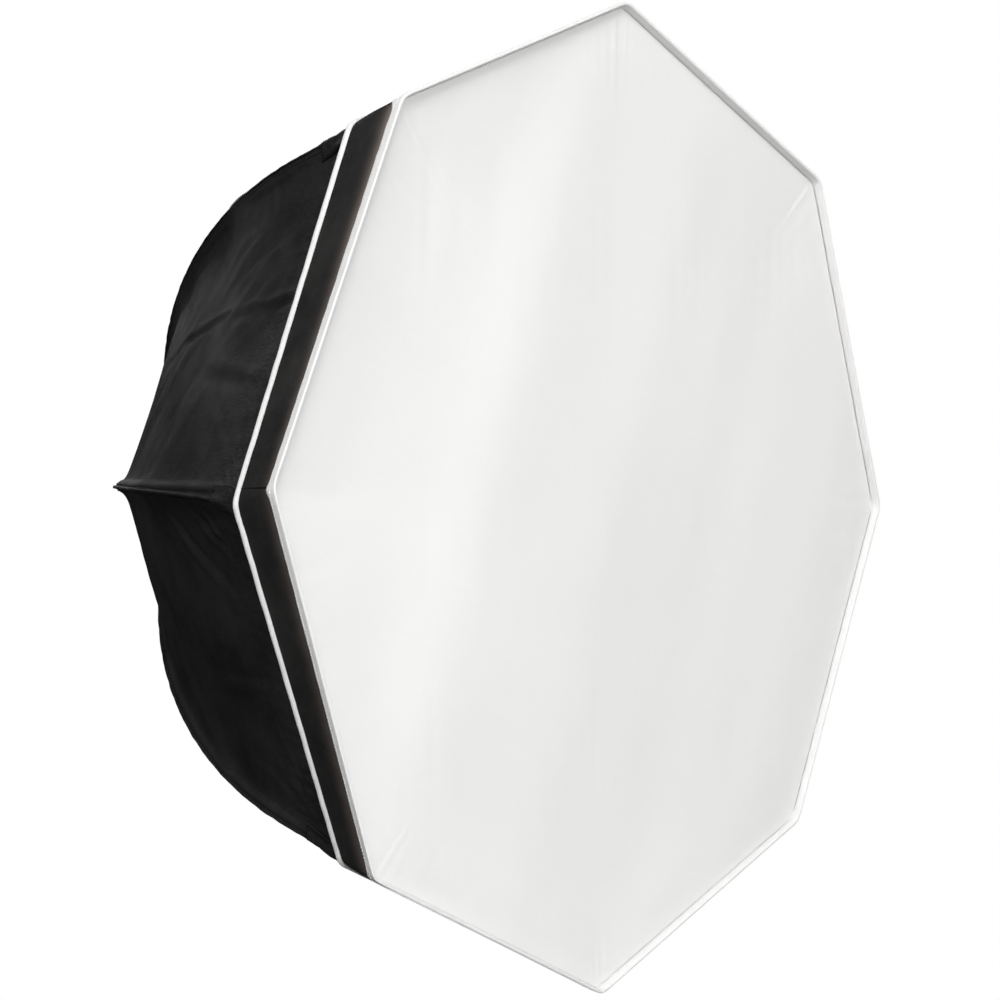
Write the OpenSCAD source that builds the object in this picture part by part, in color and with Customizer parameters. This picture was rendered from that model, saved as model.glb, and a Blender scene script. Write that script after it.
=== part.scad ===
// Eight-sided studio softbox on a rotating speed ring with a three-lug bayonet.
// Lengths in millimetres. The optical axis runs along Y and the light leaves towards -Y.
// The origin is on the axis, at the rear seating face of the bayonet insert.
// One corner of the octagon points straight up.

/* [Shell] */
// Distance between opposite corners of the front edge
front_d = 950; // [900:5:1000]
// Width of the lip, from the front edge back to the rim piping
lip_w = 51; // [40:1:60]
// How far the lip narrows, at a corner, from its front edge to the piping
lip_taper = 10; // [6:1:12]
// Angle between a rib and the optical axis at the rim, in degrees
rim_angle = 18.3; // [16:0.1:20]
// Length of the straight stretch of a rib behind the rim
straight_l = 104; // [80:1:130]
// Radius of the bend in the rest of the rib
bend_r = 724; // [700:1:750]
// How far the fabric flares out where it meets the piping
flare = 8; // [0:1:10]
// Thickness of the shell fabric with its lining
cloth_t = 0.8; // [0.6:0.1:1.2]
// Corner radius of the opening at the rear of the shell
rear_open_r = 95; // [94:0.5:98]

/* [Rods] */
// Diameter of a flexible rod
rod_d = 5; // [4:0.5:5]
// Distance from the outside of a seam to the middle of its rod
rod_inset = 6; // [5.5:0.1:7]

/* [Speed ring] */
// Outside radius of the speed ring
ring_r = 80; // [78:0.5:82]
// Height of the rod sockets above the seating face, at the rim of the ring
socket_z = 33; // [32:0.5:36]
// Radius of the lamp bore through the insert
bore_r = 49; // [47:0.5:49]
// Angle of the lock screw around the axis, in degrees
lock_angle = 292.5; // [22.5, 67.5, 247.5, 292.5]

/* [Diffusers] */
// How far the front diffuser sits behind the front edge
front_recess = 8; // [6:1:12]
// Depth of the inner baffle behind the front edge
baffle_depth = 260; // [220:5:300]
// Distance from the corner of the inner baffle to the rod
strap_l = 45; // [35:1:60]

/* [Hidden] */

cloth = "#1c1c1f";
white_cloth = "#f0f0ee";
metal = "#8d9095";
black_metal = "#2a2b2e";
plastic = "#202124";
step = 45;
gap = 0.4;
film = 0.05;
$fn = 64;
rod_fn = 24;

// Rib: a straight stretch, then one bend towards the ring
front_r = front_d / 2;
rib_r = front_r - 1 - lip_w * tan(rim_angle);
bend_r_c = rib_r - straight_l * sin(rim_angle) - bend_r * cos(rim_angle);
bend_d_c = lip_w + straight_l * cos(rim_angle) - bend_r * sin(rim_angle);
rear_angle = acos((rear_open_r - bend_r_c) / bend_r);
rear_s = straight_l + bend_r * (rear_angle - rim_angle) * PI / 180;
rod_bend_r = bend_r - rod_inset;

// Speed ring and what turns in it
insert_t = 4;
insert_r = 70;
lug_span = 28;
lug_l = 9;
lug_t = 2.5;
neck_r = 53;
neck_top = 16;
glide_r = 55.2;
glide_t = 1;
running = 0.06;
ring_low = insert_t + glide_t + 0.15;
ring_top = socket_z + 9;
counter_r = 64;
keeper_r = 62;
keeper_t = 2;
screw_n = 6;
screw_r = 1.2;
screw_fit = 0.1;
screw_ring = (bore_r + neck_r) / 2;
head_t = 1.4;
head_r = 1.9;

// Rod roots and sockets
join_r = ring_r + 12;
root_angle = acos((join_r - bend_r_c) / rod_bend_r);
join_d = bend_d_c + rod_bend_r * sin(root_angle);
rim_run = (join_r - ring_r) / sin(root_angle);
front_z = socket_z + join_d + rim_run * cos(root_angle);
socket_r = 5;
socket_out = 2.3;
socket_in = 26;
socket_floor = 1.5;
grub_r = 1.4;
grub_at = ring_r - 5;

// Rod tips and the pockets that hold them
tip_s = 6;
tip_l = 14;
tip_r = 3.6;
pocket_r = 5;
pocket_t = 0.9;
pocket_from = tip_s - 2;
pocket_l = 28;

// Lip, piping and the tapes
seam_gap = 0.2;
seam_w = 14;
patch_w = 28;
collar_r = ring_r + 10;
collar_low = 15.5;
strap_low = 17;
strap_high = 25;
strap_t = 1.4;
piping_r = 3;
piping_ring = front_r - lip_taper;
tape_t = 1;
tape_from = 12;
tape_to = 37;
binding_w = 8;
binding_t = 0.7;
skirt_off = cloth_t + gap + tape_t + gap + tape_t + gap;

// Inner baffle
rod_at_baffle_angle = asin((baffle_depth - bend_d_c) / rod_bend_r);
rod_at_baffle_r = bend_r_c + rod_bend_r * cos(rod_at_baffle_angle);
baffle_r = rod_at_baffle_r - strap_l;
baffle_z = front_z - baffle_depth;
baffle_t = 1;
baffle_hem = 5.6;
elastic_w = 12;

// Lock
lock_z = 11;
lock_r = 3;
lock_fit = 0.1;
pad_r = 2.4;
pad_out = 57;
knob_r = 9.5;
knob_from = 94;
knob_l = 18;

// A point on the rib as [radius, depth], s along it from the rim, off towards the inside
function rib_point(s, off) =
    s <= straight_l
        ? [
            rib_r - s * sin(rim_angle) - off * cos(rim_angle),
            lip_w + s * cos(rim_angle) - off * sin(rim_angle)
        ]
        : bend_point(rim_angle + (s - straight_l) / bend_r * 180 / PI, bend_r - off);
function bend_point(a, r) = [bend_r_c + r * cos(a), bend_d_c + r * sin(a)];

// The same rib with the flare of the fabric near the rim
function shell_point(s, off) = rib_point(s, off) + [flare * exp(-s / 7), 0];

// Distances along the rib at which the fabric is bent
shell_s = concat(
    [4, 8, 14, 24, 60],
    [for (i = [0:14]) straight_l + (rear_s - straight_l) * i / 14]
);

function reversed(v) = [for (i = [len(v) - 1:-1:0]) v[i]];
function raised(p) = [p[0], front_z - p[1]];
function layer(stops, near, far) = concat(
    [for (s = stops) raised(shell_point(s, near))],
    reversed([for (s = stops) raised(shell_point(s, far))])
);

// Corner radius of the outside of the lip at a depth
function lip_r(depth) = front_r - lip_taper * depth / lip_w;

// Local frame: Z forward along the optical axis, Y up
module axial() {
    rotate([90, 0, 0]) children();
}

module at_ribs() {
    for (k = [0:7]) rotate([0, 0, k * step]) children();
}

// A closed profile taken round the eight corners
module octagon_sweep(profile) {
    rotate_extrude($fn = 8) polygon(profile);
}

module tube(low, high, inner, outer) {
    translate([0, 0, low]) difference() {
        cylinder(h = high - low, r = outer);
        translate([0, 0, -1]) cylinder(h = high - low + 2, r = inner);
    }
}

// A round bar in the rib's plane between two [radius, depth] points
module rib_bar(from, to, r) {
    run = raised(to) - raised(from);
    translate([from[0], 0, front_z - from[1]])
        rotate([0, atan2(run[0], run[1]), 0])
            cylinder(h = norm(run), r = r, $fn = rod_fn);
}

// A point on a rod's straight root, u inwards from the place where its bend ends
function root_point(u) = [join_r - u * sin(root_angle), join_d + u * cos(root_angle)];

// Insert: flange, neck and three lugs, cast in one piece and bored through
module bayonet_insert() {
    core_r = bore_r - 5;
    lug_r = bore_r + 3.5;
    lug_tip_r = bore_r + 7;
    color(metal) axial() difference() {
        union() {
            cylinder(h = insert_t, r = insert_r);
            cylinder(h = neck_top, r = neck_r);
            for (k = [0:2]) rotate([0, 0, 120 * k + 90 - lug_span / 2])
                rotate_extrude(angle = lug_span) polygon([
                    [core_r, -lug_l],
                    [lug_tip_r, -lug_l],
                    [lug_tip_r, lug_t - lug_l],
                    [lug_r, lug_t - lug_l],
                    [lug_r, 1],
                    [core_r, 1]
                ]);
        }
        translate([0, 0, -lug_l - 1]) cylinder(h = lug_l + neck_top + 2, r = bore_r);
        for (k = [0:screw_n - 1]) rotate([0, 0, k * 360 / screw_n])
            translate([screw_ring, 0, neck_top - 9])
                cylinder(h = 10, r = screw_r + screw_fit, $fn = rod_fn);
    }
}

// Nylon bush with a thrust flange, on the neck of the insert
module glide_ring() {
    color("#d8d6cc") axial() difference() {
        union() {
            tube(insert_t + film, neck_top - film, neck_r + film, glide_r);
            tube(insert_t + film, insert_t + film + glide_t, neck_r + film, insert_r - 2);
        }
        rotate([0, 0, lock_angle]) translate([neck_r - 2, 0, lock_z]) rotate([0, 90, 0])
            cylinder(h = 6, r = pad_r + 0.2, $fn = rod_fn);
    }
}

module retaining_ring() {
    color(metal) axial() difference() {
        tube(neck_top + film, neck_top + film + keeper_t, bore_r, keeper_r);
        for (k = [0:screw_n - 1]) rotate([0, 0, k * 360 / screw_n])
            translate([screw_ring, 0, neck_top - 1])
                cylinder(h = 5, r = screw_r + screw_fit, $fn = rod_fn);
    }
}

module retaining_screws() {
    head_low = neck_top + 2 * film + keeper_t;
    shank_low = neck_top - 8;
    color("#b9bbbf") axial() for (k = [0:screw_n - 1]) rotate([0, 0, k * 360 / screw_n])
        translate([screw_ring, 0, 0]) difference() {
            union() {
                translate([0, 0, shank_low])
                    cylinder(h = head_low + 1 - shank_low, r = screw_r, $fn = rod_fn);
                translate([0, 0, head_low]) cylinder(h = head_t, r = head_r, $fn = rod_fn);
            }
            translate([0, 0, head_low + head_t / 2]) cylinder(h = head_t, r = head_r / 2, $fn = 6);
        }
}

// Cast ring that carries the rods and turns on the glide ring
module speed_ring() {
    color(black_metal) axial() difference() {
        rotate_extrude() polygon([
            [glide_r + running, ring_low],
            [ring_r - 1.5, ring_low],
            [ring_r, ring_low + 1.5],
            [ring_r, ring_top - 2],
            [ring_r - 2, ring_top],
            [counter_r + 4, ring_top],
            [counter_r, ring_top - 4],
            [counter_r, neck_top],
            [glide_r + running, neck_top]
        ]);
        at_ribs() {
            rib_bar(root_point(-4), root_point(socket_in + 0.2), socket_r + 0.05);
            translate([grub_at, 0, ring_top - 8]) cylinder(h = 10, r = grub_r + 0.1, $fn = rod_fn);
        }
        rotate([0, 0, lock_angle]) translate([glide_r - 4, 0, lock_z]) rotate([0, 90, 0])
            cylinder(h = ring_r, r = lock_r, $fn = rod_fn);
    }
}

// Metal tubes, closed at the inner end, that the rods plug into
module rod_sockets() {
    color("#c9ccd1") axial() at_ribs() difference() {
        rib_bar(root_point(socket_out), root_point(socket_in), socket_r);
        rib_bar(root_point(socket_out - 1), root_point(socket_in - socket_floor), rod_d / 2 + 0.2);
    }
}

module socket_screws() {
    depth_in = join_d + (join_r - grub_at) / tan(root_angle);
    low = front_z - depth_in + socket_r / sin(root_angle) + 0.8;
    color("#55575c") axial() at_ribs() translate([grub_at, 0, low]) difference() {
        cylinder(h = ring_top - low - 0.6, r = grub_r, $fn = rod_fn);
        translate([0, 0, ring_top - low - 1.8]) cylinder(h = 2, r = 0.7, $fn = 6);
    }
}

// Flexible rod: straight at the tip, bent along the shell, straight in its socket
module rod(k) {
    color("#3a3c40") axial() rotate([0, 0, (k - 1) * step]) {
        rib_bar(rib_point(tip_s + 2, rod_inset), rib_point(straight_l, rod_inset), rod_d / 2);
        translate([bend_r_c, 0, front_z - bend_d_c]) rotate([90, 0, 0])
            rotate([0, 0, -root_angle]) rotate_extrude(angle = root_angle - rim_angle, $fn = 360)
                translate([rod_bend_r, 0]) circle(r = rod_d / 2, $fn = rod_fn);
        rib_bar(root_point(0), root_point(socket_in - socket_floor - 0.5), rod_d / 2);
    }
}

module rod_tips() {
    color("#e6e6e2") axial() at_ribs() difference() {
        rib_bar(rib_point(tip_s, rod_inset), rib_point(tip_s + tip_l, rod_inset), tip_r);
        rib_bar(rib_point(tip_s + 1.8, rod_inset), rib_point(tip_s + tip_l + 1, rod_inset), rod_d / 2 + 0.1);
    }
}

// Webbing cups under the rod tips, open to the outside, sewn to the seams
module rod_pockets() {
    middle = raised(rib_point(pocket_from + pocket_l / 2, rod_inset));
    color(cloth) axial() at_ribs() difference() {
        rib_bar(rib_point(pocket_from, rod_inset), rib_point(pocket_from + pocket_l, rod_inset), pocket_r);
        rib_bar(
            rib_point(pocket_from + pocket_t, rod_inset),
            rib_point(pocket_from + pocket_l + 1, rod_inset),
            pocket_r - pocket_t
        );
        translate([middle[0], 0, middle[1]]) rotate([0, rim_angle, 0])
            translate([0, -pocket_r - 1, -pocket_l]) cube([pocket_r + 1, 2 * pocket_r + 2, 2 * pocket_l]);
    }
}

// One gore of the shell, between two ribs
module shell_panel(k) {
    color(cloth) axial() rotate([0, 0, (k - 1) * step])
        rotate([0, 0, step / 2]) translate([seam_gap, 0, 0]) rotate([0, 0, -step / 2])
            rotate_extrude(angle = step, $fn = 8) polygon(layer(shell_s, 0, cloth_t));
}

// Slabs across the axis, centred on the ribs
module seam_slabs(width) {
    for (k = [0:3]) rotate([0, 0, k * step])
        translate([-front_r, -width / 2, 0]) cube([front_d, width, front_z]);
}

// Strips along the inside of the seams
module seam_tapes() {
    tape_stops = [for (i = [3:len(shell_s) - 2]) shell_s[i]];
    color("#2a2a2d") axial() intersection() {
        octagon_sweep(layer(tape_stops, cloth_t + gap, cloth_t + gap + 0.6));
        seam_slabs(seam_w);
    }
}

// Patches over the seams behind the piping, where the rod tips push
module corner_patches() {
    color("#141416") axial() intersection() {
        octagon_sweep(layer([8, 14, 24, 50], -gap - 0.6, -gap));
        seam_slabs(patch_w);
    }
}

// Fabric sleeve that closes the shell against the speed ring
module rear_collar() {
    edge_z = front_z - shell_point(rear_s, 0)[1] - 1.2;
    color(cloth) axial() octagon_sweep([
        [collar_r, collar_low],
        [collar_r, 27],
        [rear_open_r + 1, edge_z],
        [rear_open_r - 0.4, edge_z],
        [collar_r - cloth_t, 27.3],
        [collar_r - cloth_t, collar_low]
    ]);
}

module collar_strap() {
    color("#101012") axial() octagon_sweep([
        [collar_r + gap, strap_low],
        [collar_r + gap + strap_t, strap_low],
        [collar_r + gap + strap_t, strap_high],
        [collar_r + gap, strap_high]
    ]);
}

module rim_piping() {
    color(white_cloth) axial() octagon_sweep([
        for (a = [0:30:330])
            [piping_ring + piping_r * cos(a), front_z - lip_w + piping_r * sin(a)]
    ]);
}

module front_lip() {
    back = lip_w - piping_r - gap;
    color(cloth) axial() octagon_sweep([
        [lip_r(back), front_z - back],
        [lip_r(0), front_z],
        [lip_r(0) - cloth_t, front_z],
        [lip_r(back) - cloth_t, front_z - back]
    ]);
}

// Tape folded over the front edge of the lip
module front_binding() {
    t = binding_t;
    color(white_cloth) axial() octagon_sweep([
        [lip_r(binding_w) + gap, front_z - binding_w],
        [lip_r(binding_w) + gap + t, front_z - binding_w],
        [lip_r(0) + gap + t, front_z + gap + t],
        [lip_r(0) - cloth_t - gap - t, front_z + gap + t],
        [lip_r(binding_w) - cloth_t - gap - t, front_z - binding_w],
        [lip_r(binding_w) - cloth_t - gap, front_z - binding_w],
        [lip_r(0) - cloth_t - gap, front_z + gap],
        [lip_r(0) + gap, front_z + gap]
    ]);
}

// A band parallel to the inside of the lip, off its outside
module lip_band(off) {
    octagon_sweep([
        [lip_r(tape_to) - off, front_z - tape_to],
        [lip_r(tape_from) - off, front_z - tape_from],
        [lip_r(tape_from) - off - tape_t, front_z - tape_from],
        [lip_r(tape_to) - off - tape_t, front_z - tape_to]
    ]);
}

module lip_hook_tape() {
    color("#e2e2df") axial() lip_band(cloth_t + gap);
}

module diffuser_loop_tape() {
    color("#e9e9e6") axial() lip_band(cloth_t + 2 * gap + tape_t);
}

// Front sheet with the skirt that carries its tape
module front_diffuser() {
    face = front_z - front_recess;
    t = cloth_t;
    color(white_cloth) axial() octagon_sweep([
        [0, face],
        [lip_r(front_recess) - skirt_off, face],
        [lip_r(tape_to) - skirt_off, front_z - tape_to],
        [lip_r(tape_to) - skirt_off - t, front_z - tape_to],
        [lip_r(front_recess) - skirt_off - t, face - t],
        [0, face - t]
    ]);
}

module inner_baffle() {
    color("#f4f4f2") axial() translate([0, 0, baffle_z - baffle_t / 2])
        cylinder(h = baffle_t, r = baffle_r - baffle_hem - gap, $fn = 8);
}

module baffle_binding() {
    color("#e6e6e3") axial() translate([0, 0, baffle_z - baffle_t]) difference() {
        cylinder(h = 2 * baffle_t, r = baffle_r, $fn = 8);
        translate([0, 0, -1]) cylinder(h = 4 * baffle_t, r = baffle_r - baffle_hem, $fn = 8);
    }
}

// Elastic straps from the corners of the baffle to their hooks
module baffle_straps() {
    start = baffle_r + 3;
    stop = rod_at_baffle_r - 8.6;
    color("#ececea") axial() at_ribs()
        translate([start, -elastic_w / 2, baffle_z - baffle_t / 2]) cube([stop - start, elastic_w, baffle_t]);
}

// Open hooks that sit over the rods and pull off inwards
module baffle_hooks() {
    slot = rod_d + 0.6;
    color(plastic) axial() at_ribs() translate([rod_at_baffle_r, 0, baffle_z])
        rotate([0, rod_at_baffle_angle, 0]) difference() {
            translate([-7, -5, -4]) cube([8.5, 10, 8]);
            translate([-slot / 2, -slot / 2, -5]) cube([10, slot, 10]);
        }
}

module at_lock() {
    axial() rotate([0, 0, lock_angle]) translate([0, 0, lock_z]) rotate([0, 90, 0]) children();
}

module lock_pad() {
    color("#b08d4a") at_lock() translate([0, 0, neck_r + film])
        cylinder(h = pad_out - neck_r - film, r = pad_r, $fn = rod_fn);
}

module lock_screw() {
    color("#b9bbbf") at_lock() translate([0, 0, pad_out + film])
        cylinder(h = knob_from + 12 - pad_out, r = lock_r - lock_fit, $fn = rod_fn);
}

// Fluted knob, moulded round the outer end of the screw
module lock_knob() {
    flutes = 6;
    color(plastic) at_lock() difference() {
        union() {
            translate([0, 0, knob_from - 7]) cylinder(h = 8, r = 5, $fn = 48);
            translate([0, 0, knob_from]) cylinder(h = knob_l, r = knob_r, $fn = 48);
        }
        translate([0, 0, knob_from - 8]) cylinder(h = 21, r = lock_r - lock_fit / 2, $fn = rod_fn);
        for (k = [0:flutes - 1]) rotate([0, 0, k * 360 / flutes])
            translate([knob_r + 2.2, 0, knob_from - 1]) cylinder(h = knob_l + 2, r = 3.6, $fn = rod_fn);
    }
}

bayonet_insert();
glide_ring();
retaining_ring();
retaining_screws();
speed_ring();
rod_sockets();
socket_screws();
rod(1);  // rod_1
rod(2);  // rod_2
rod(3);  // rod_3
rod(4);  // rod_4
rod(5);  // rod_5
rod(6);  // rod_6
rod(7);  // rod_7
rod(8);  // rod_8
rod_tips();
rod_pockets();
shell_panel(1);  // shell_panel_1
shell_panel(2);  // shell_panel_2
shell_panel(3);  // shell_panel_3
shell_panel(4);  // shell_panel_4
shell_panel(5);  // shell_panel_5
shell_panel(6);  // shell_panel_6
shell_panel(7);  // shell_panel_7
shell_panel(8);  // shell_panel_8
seam_tapes();
corner_patches();
rear_collar();
collar_strap();
rim_piping();
front_lip();
front_binding();
lip_hook_tape();
front_diffuser();
diffuser_loop_tape();
inner_baffle();
baffle_binding();
baffle_straps();
baffle_hooks();
lock_pad();
lock_screw();
lock_knob();
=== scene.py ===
import math

import bpy
import numpy as np
from mathutils import Matrix, Vector


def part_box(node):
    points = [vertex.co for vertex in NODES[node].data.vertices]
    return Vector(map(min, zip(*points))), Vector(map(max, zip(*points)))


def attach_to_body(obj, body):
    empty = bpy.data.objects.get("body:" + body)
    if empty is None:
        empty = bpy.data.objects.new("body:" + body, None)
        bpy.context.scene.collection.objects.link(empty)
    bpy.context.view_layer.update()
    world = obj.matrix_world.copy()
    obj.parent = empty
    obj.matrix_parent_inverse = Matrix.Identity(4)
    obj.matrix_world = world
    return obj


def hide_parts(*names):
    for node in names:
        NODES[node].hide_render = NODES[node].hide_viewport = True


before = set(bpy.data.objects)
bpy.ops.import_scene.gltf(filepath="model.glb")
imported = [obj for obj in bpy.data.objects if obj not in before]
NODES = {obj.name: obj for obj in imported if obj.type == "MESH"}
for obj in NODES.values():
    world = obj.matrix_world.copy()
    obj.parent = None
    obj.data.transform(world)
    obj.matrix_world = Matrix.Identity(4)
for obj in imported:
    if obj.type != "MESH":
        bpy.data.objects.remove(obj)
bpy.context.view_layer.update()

# ---------------- sizes, in metres
SIDES = 8
TAU = 2 * math.pi
STEP = TAU / SIDES
HALF = STEP / 2

FRONT_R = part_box("front_lip")[1].x
FRONT_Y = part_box("front_lip")[0].y
RING_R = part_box("speed_ring")[1].x
PIPING_LOW, PIPING_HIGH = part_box("rim_piping")
LIP = (PIPING_LOW.y + PIPING_HIGH.y) / 2 - FRONT_Y
PIPING_T = (PIPING_HIGH.y - PIPING_LOW.y) / 2
PIPING_R = PIPING_HIGH.x - PIPING_T
TAPER = FRONT_R - PIPING_R

RIM_ANGLE = math.radians(18.3)
STRAIGHT = 0.104
BEND_R = 0.724
REAR_R = 0.095
ROD_INSET = 0.006
ROD_COVER = 0.0037
FLARE = 0.0085
FLARE_RUN = 0.007
CLOTH = 0.0006
TENT = 0.010
TENT_RUN = 0.008
THREAD_R = 0.00035
STITCH_REACH = 0.0045
BAND_END = 0.037

RIB_R = FRONT_R - 0.001 - LIP * math.tan(RIM_ANGLE)
BEND_C = np.array([
    RIB_R - STRAIGHT * math.sin(RIM_ANGLE) - BEND_R * math.cos(RIM_ANGLE),
    LIP + STRAIGHT * math.cos(RIM_ANGLE) - BEND_R * math.sin(RIM_ANGLE),
])
REAR_S = STRAIGHT + BEND_R * (math.acos((REAR_R - BEND_C[0]) / BEND_R) - RIM_ANGLE)

# How the soft rim hangs: (x, y, z) in millimetres off the regular octagon at each corner of the
# front edge and of the piping, anticlockwise from the corner at +X as seen from the front.
EDGE_HANG = 0.001 * np.array([
    (1, 0, -2), (4, 0, 4), (-2, 3, 0), (4.4, -5.8, 6),
    (2, 1, 3), (0, 1.5, 3), (-2.6, 3.5, 1), (-2.5, 3.4, 1),
])
RIM_HANG = 0.001 * np.array([
    (0, 0, -2), (0, 0, 2), (0, 0, -7), (-4.2, 3, -8.5),
    (-2, -0.6, -12), (0.8, -3, 5), (0, 0, 8), (0, 0, 1),
])
HANG_RUN = np.array([0.1, 0.05, 0.05, 0.03, 0.16, 0.03, 0.05, 0.1])


# ---------------- shapes of the design
def place(theta, r, depth):
    """A point at an angle round the optical axis, a radius and a depth behind the front edge."""
    theta, r, depth = np.broadcast_arrays(theta, r, depth)
    return np.stack([r * np.cos(theta), FRONT_Y + depth, r * np.sin(theta)], -1)


def hang(theta, depth):
    """How far the rim is off the regular octagon, between the piping and the front edge."""
    turn = (np.asarray(theta, float) / STEP) % SIDES
    k = np.floor(turn).astype(int) % SIDES
    u = 0.5 + 0.5 * np.tan((turn - np.floor(turn)) * STEP - HALF) / math.tan(HALF)
    share = np.clip(1 - np.asarray(depth, float) / LIP, 0, 1)
    k, u, share = np.broadcast_arrays(k, u, share)
    corner = lambda i: RIM_HANG[i % SIDES] + (EDGE_HANG - RIM_HANG)[i % SIDES] * share[..., None]
    return corner(k) + (corner(k + 1) - corner(k)) * u[..., None]


def rim_place(theta, r, depth, reach=1.0):
    """A point on the soft rim, or on the sheet it holds at a share of its reach."""
    theta, r, depth, reach = np.broadcast_arrays(theta, r, depth, reach)
    return place(theta, r, depth) + hang(theta, depth) * reach[..., None]


def rib_place(k, s, r, depth):
    """A point over rib k, carried along by the rim near the piping."""
    share = np.exp(-np.asarray(s) / HANG_RUN[k % SIDES])[..., None]
    return place(k * STEP, r, depth) + RIM_HANG[k % SIDES] * share


def bare_rib(s, off):
    """Radius and depth of a rod's line, s along it from the rim, off towards the inside."""
    s = np.asarray(s, float)
    angle = RIM_ANGLE + np.maximum(s - STRAIGHT, 0) / BEND_R
    ca, sa = np.cos(angle), np.sin(angle)
    start_r = RIB_R - s * math.sin(RIM_ANGLE) - off * math.cos(RIM_ANGLE)
    start_d = LIP + s * math.cos(RIM_ANGLE) - off * math.sin(RIM_ANGLE)
    bent = s > STRAIGHT
    r = np.where(bent, BEND_C[0] + (BEND_R - off) * ca, start_r)
    d = np.where(bent, BEND_C[1] + (BEND_R - off) * sa, start_d)
    return r, d


def rib(s, off=0.0):
    """The same for the cloth, which flares out to the piping."""
    r, d = bare_rib(s, off)
    return r + FLARE * np.exp(-np.asarray(s, float) / FLARE_RUN), d


def octagon(theta, bow=0.0004, soft=190.0):
    """Radius of the unit octagon at theta: sides bowed inwards a little, corners slightly rounded."""
    theta = np.asarray(theta, float)
    apothem = math.cos(HALF)
    total = 0
    for k in range(SIDES):
        delta = (theta - (k * STEP + HALF) + math.pi) % TAU - math.pi
        near = np.abs(delta) < 1.5 * HALF
        safe = np.where(near, delta, 0)
        side = apothem / np.cos(safe) - bow * np.cos(math.pi * safe / STEP)
        total = total + np.where(near, np.exp(-soft * (side - 1)), 0)
    return 1 - np.log(total) / soft


def ring_angles(per_side=56):
    """Angles round the octagon, closer together near its corners."""
    t = np.arange(per_side) / per_side * 2 - 1
    spread = HALF * np.sin(t * math.pi / 2 * 0.94) / math.sin(math.pi / 2 * 0.94)
    return np.concatenate([k * STEP + HALF + spread for k in range(SIDES)])


def lip_r(depth):
    return FRONT_R - TAPER * np.asarray(depth, float) / LIP


def outward(theta):
    return np.array([math.cos(theta), 0, math.sin(theta)])


def sideways(theta):
    return np.array([-math.sin(theta), 0, math.cos(theta)])


def from_corner(theta):
    """Angle to the nearest corner of the octagon."""
    return np.abs((theta / STEP + 0.5) % 1 - 0.5) * STEP


def direction(vectors):
    return vectors / np.maximum(np.linalg.norm(vectors, axis=-1, keepdims=True), 1e-12)


def bell(x, middle, width, power=2):
    return np.exp(-((x - middle) / width) ** power)


def rise(x, run, power=1):
    """From 0 at x = 0 up to 1 well past run."""
    return 1 - np.exp(-(x / run) ** power)


def hump(x):
    """From 0 at x = 0 up to 1 at x = 1, then slowly down again."""
    return x * np.exp(1 - x)


# ---------------- meshes
def add_object(name, data):
    item = bpy.data.objects.new(name, data)
    bpy.context.scene.collection.objects.link(item)
    return item


def make(name, verts, faces, materials, uv=None, bands=None, smooth=True):
    mesh = bpy.data.meshes.new(name)
    mesh.from_pydata([tuple(v) for v in verts], [], [tuple(int(i) for i in f) for f in faces])
    for material in materials:
        mesh.materials.append(material)
    if uv is not None:
        layer = mesh.uv_layers.new(name="cloth")
        layer.data.foreach_set("uv", np.asarray(uv, np.float32).ravel())
    if bands is not None:
        mesh.polygons.foreach_set("material_index", np.asarray(bands, np.int32))
    mesh.polygons.foreach_set("use_smooth", np.full(len(mesh.polygons), smooth))
    mesh.update()
    return add_object(name, mesh)


def running(points, closed):
    """Length along a row of points; one more value than points where the row is closed."""
    rows = np.concatenate([points, points[:1]]) if closed else points
    return np.concatenate([[0], np.cumsum(np.linalg.norm(np.diff(rows, axis=0), axis=-1))])


def quads_of(points, wrap_u=False, wrap_v=False):
    """The faces of a sheet of points[u, v], their texture coordinates in metres, and their rows."""
    nu, nv = points.shape[:2]
    a, b = np.meshgrid(
        np.arange(nu if wrap_u else nu - 1), np.arange(nv if wrap_v else nv - 1), indexing="ij"
    )
    a2, b2 = (a + 1) % nu, (b + 1) % nv
    quads = np.stack([a * nv + b, a2 * nv + b, a2 * nv + b2, a * nv + b2], -1).reshape(-1, 4)
    lu = running(points[:, nv // 2], wrap_u)
    lv = running(points[nu // 2], wrap_v)
    uv = np.stack(
        [lu[a], lv[b], lu[a + 1], lv[b], lu[a + 1], lv[b + 1], lu[a], lv[b + 1]], -1
    ).reshape(-1, 4, 2)
    return quads, uv, b.ravel()


def grid(name, points, materials, wrap_u=False, wrap_v=False, bands=None, flip=False, centre=False):
    """A sheet from points[u, v].

    A sheet with a centre is a ring whose first column closes on one point in the middle.
    """
    nu, nv = points.shape[:2]
    quads, uv, rows = quads_of(points, wrap_u, wrap_v)
    index = None if bands is None else np.asarray(bands)[rows]
    if flip:
        quads, uv = quads[:, ::-1], uv[:, ::-1]
    verts, faces, uv = points.reshape(-1, 3), list(quads), uv.reshape(-1, 2)
    if centre:
        around = np.arange(nu) * nv
        faces += list(np.stack([np.roll(around, -1), around, np.full(nu, len(verts))], -1))
        verts = np.concatenate([verts, points[:, 0].mean(0)[None]])
        uv = np.concatenate([uv, np.zeros((3 * nu, 2))])
    return make(name, verts, faces, materials, uv, index)


def sweep(name, profile, materials, ripple, bands=None):
    """A closed cross-section of (corner radius, depth) points, taken round the octagon."""
    theta = ring_angles()[:, None]
    r, depth = profile[None, :, 0], profile[None, :, 1]
    dr, dd = ripple(theta, r, depth)
    points = rim_place(theta, octagon(theta) * r + dr, depth + dd)
    return grid(name, points, materials, wrap_u=True, wrap_v=True, bands=bands, flip=True)


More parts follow.
